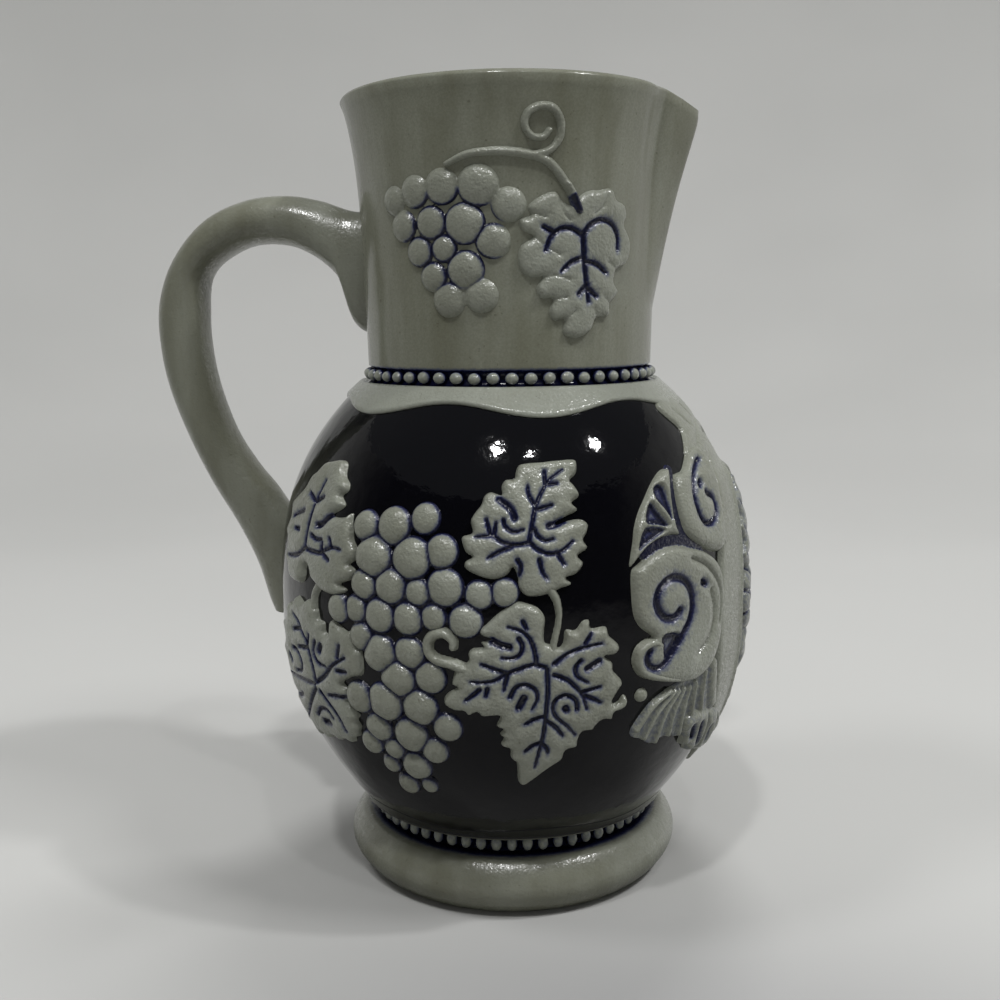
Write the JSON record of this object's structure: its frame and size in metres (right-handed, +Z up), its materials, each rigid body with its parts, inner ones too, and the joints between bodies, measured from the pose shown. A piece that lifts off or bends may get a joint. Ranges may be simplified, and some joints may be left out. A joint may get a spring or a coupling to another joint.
{
  "type": "stoneware pitcher",
  "caption": "Salt-glazed stoneware wine pitcher with a globular belly, tall neck, pulled spout, loop handle, turned foot and applied vine reliefs.",
  "frame": {"origin": "middle of the flat underside, on the axis of the thrown body", "axes": "+Z up through the mouth, +X towards the pulled spout, the handle at -X, +Y to the left of the spout"},
  "size_m": [0.1449, 0.1136, 0.18],
  "materials": {
    "vessel_glaze": "glossy salt glaze, grey on the neck and lip, near-black cobalt on the belly's ground",
    "grey_glaze": "glossy grey salt glaze with a fine orange-peel surface",
    "relief_glaze": "pale grey salt glaze, with cobalt blue pooled in the grooves",
    "bead_glaze": "pale grey glazed beads with cobalt blue between them"
  },
  "bodies": {
    "root": {"vessel": "vessel_glaze", "foot": "grey_glaze", "foot_beads": "bead_glaze", "neck_beads": "bead_glaze", "shoulder_collar": "grey_glaze", "base_band": "grey_glaze", "handle": "grey_glaze", "medallion_plaque": "relief_glaze", "medallion_rosette": "relief_glaze", "medallion_crest": "relief_glaze", "medallion_pendant": "relief_glaze", "right_grape_bunch": "relief_glaze", "right_upper_front_leaf": "relief_glaze", "right_lower_front_leaf": "relief_glaze", "right_upper_back_leaf": "relief_glaze", "right_lower_back_leaf": "relief_glaze", "right_front_stem": "relief_glaze", "right_back_stem": "relief_glaze", "right_tendril": "relief_glaze", "right_neck_bunch": "relief_glaze", "right_neck_leaf": "relief_glaze", "right_neck_vine": "relief_glaze", "right_large_scroll": "relief_glaze", "right_upper_scroll": "relief_glaze", "right_lower_scroll": "relief_glaze", "right_lattice": "relief_glaze", "right_shell": "relief_glaze", "left_grape_bunch": "relief_glaze", "left_upper_front_leaf": "relief_glaze", "left_lower_front_leaf": "relief_glaze", "left_upper_back_leaf": "relief_glaze", "left_lower_back_leaf": "relief_glaze", "left_front_stem": "relief_glaze", "left_back_stem": "relief_glaze", "left_tendril": "relief_glaze", "left_neck_bunch": "relief_glaze", "left_neck_leaf": "relief_glaze", "left_neck_vine": "relief_glaze", "left_large_scroll": "relief_glaze", "left_upper_scroll": "relief_glaze", "left_lower_scroll": "relief_glaze", "left_lattice": "relief_glaze", "left_shell": "relief_glaze"}
  },
  "joints": []
}
